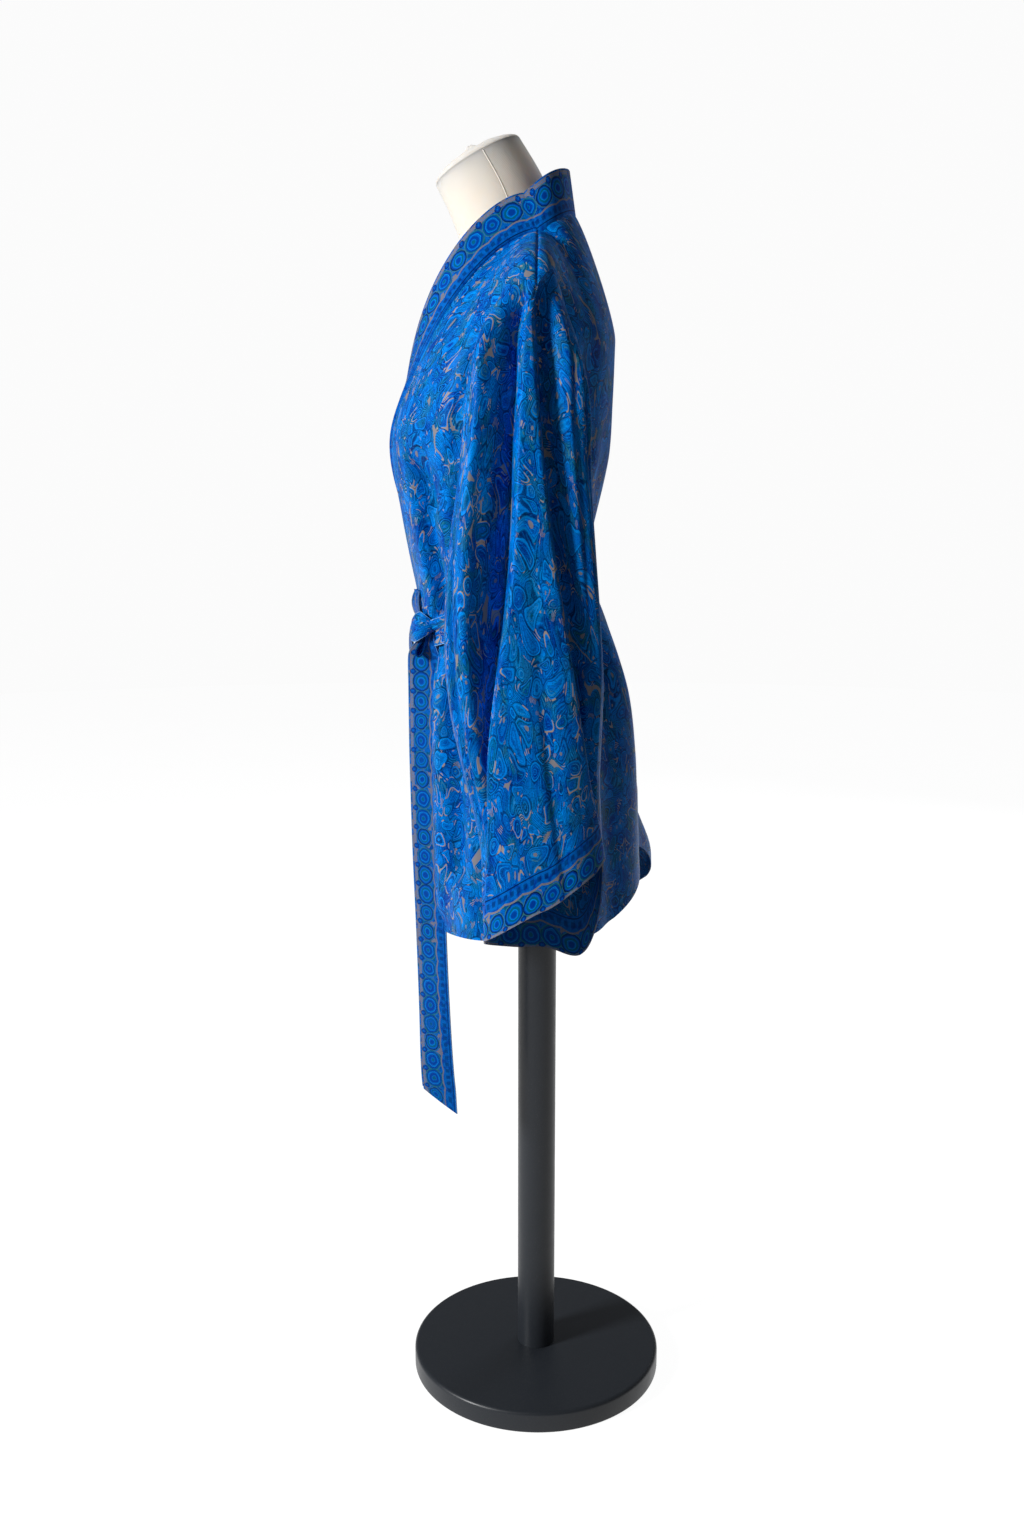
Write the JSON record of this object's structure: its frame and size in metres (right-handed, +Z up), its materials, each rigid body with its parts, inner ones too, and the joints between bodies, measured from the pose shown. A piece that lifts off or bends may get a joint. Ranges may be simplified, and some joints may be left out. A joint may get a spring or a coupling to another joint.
{
  "type": "kimono jacket on a dress form stand",
  "caption": "Blue paisley silk kimono jacket with wide sleeves and a tied sash, shown on a cream dress form with a black post and round base.",
  "frame": {"origin": "centre of the round base's underside, on the floor", "axes": "+Z up, -Y towards the jacket's front, +X towards the wearer's left"},
  "size_m": [0.524, 0.3338, 1.5339],
  "materials": {
    "silk_print": "satin, printed in a dense blue paisley",
    "silk_border": "satin, printed with a row of ring medallions",
    "form_cover": "matte stretch jersey",
    "stand_black": "satin black powder coat"
  },
  "bodies": {
    "root": {"back": "silk_print", "front_left": "silk_print", "front_right": "silk_print", "sleeve_left": "silk_print", "sleeve_right": "silk_print", "cuff_left": "silk_border", "cuff_right": "silk_border", "front_band": "silk_border", "belt_waist": "silk_border", "belt_knot": "silk_border", "belt_loop": "silk_border", "belt_tail_long": "silk_border", "belt_tail_short": "silk_border", "form_body": "form_cover", "form_neck_cap": "form_cover", "stand_pole": "stand_black", "stand_base": "stand_black"}
  },
  "joints": []
}
